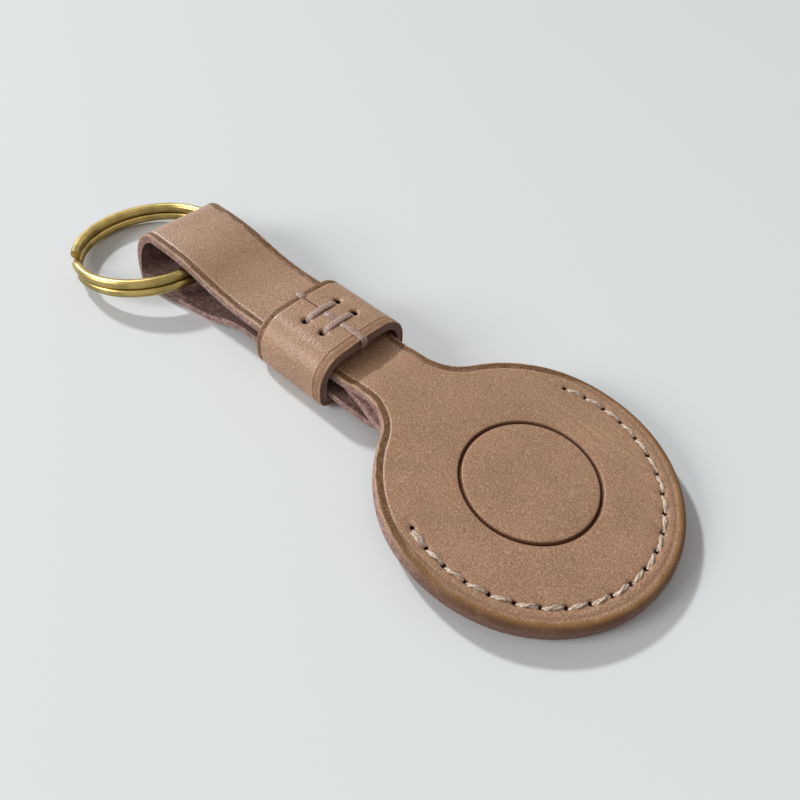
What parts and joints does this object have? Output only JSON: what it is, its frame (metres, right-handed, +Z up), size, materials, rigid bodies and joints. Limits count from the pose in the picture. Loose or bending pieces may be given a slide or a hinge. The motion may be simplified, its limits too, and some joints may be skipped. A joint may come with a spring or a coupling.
{
  "type": "tracker tag holder",
  "caption": "Flat leather holder for a round tracker tag: a sewn disc pocket on a strap that folds through a split key ring and back under a sliding keeper band.",
  "frame": {"origin": "under the middle of the whole part, on the table it lies on", "axes": "+X along the strap from the split ring to the round pocket, +Z up from the table, +Y to the left of +X seen from above"},
  "size_m": [0.1342, 0.05, 0.0109],
  "materials": {
    "strap_leather": "smooth vegetable tanned grain, burnished edges",
    "pocket_back_leather": "smooth vegetable tanned grain, burnished edges",
    "seam_thread": "waxed twisted thread",
    "keeper_leather": "smooth vegetable tanned grain, creased edges",
    "lacing_thread": "waxed twisted thread",
    "ring_wire": "satin brass wire"
  },
  "bodies": {
    "holder": {"front_panel": "strap_leather", "back_panel": "pocket_back_leather", "rim_stitching": "seam_thread"},
    "keeper": {"keeper_band": "keeper_leather", "keeper_lacing": "lacing_thread"},
    "key_ring": {"split_ring": "ring_wire"}
  },
  "joints": [
    {"name": "keeper_slide", "type": "slide", "parent": "holder", "child": "keeper", "axis": [-1, 0, 0], "range_m": [0, 0.006]},
    {"name": "ring_turn", "type": "hinge", "parent": "holder", "child": "key_ring", "pos_m": [-0.0513, -0.00626, 0.00369], "axis": [-0.1075, 0, 0.9942], "continuous": true}
  ]
}
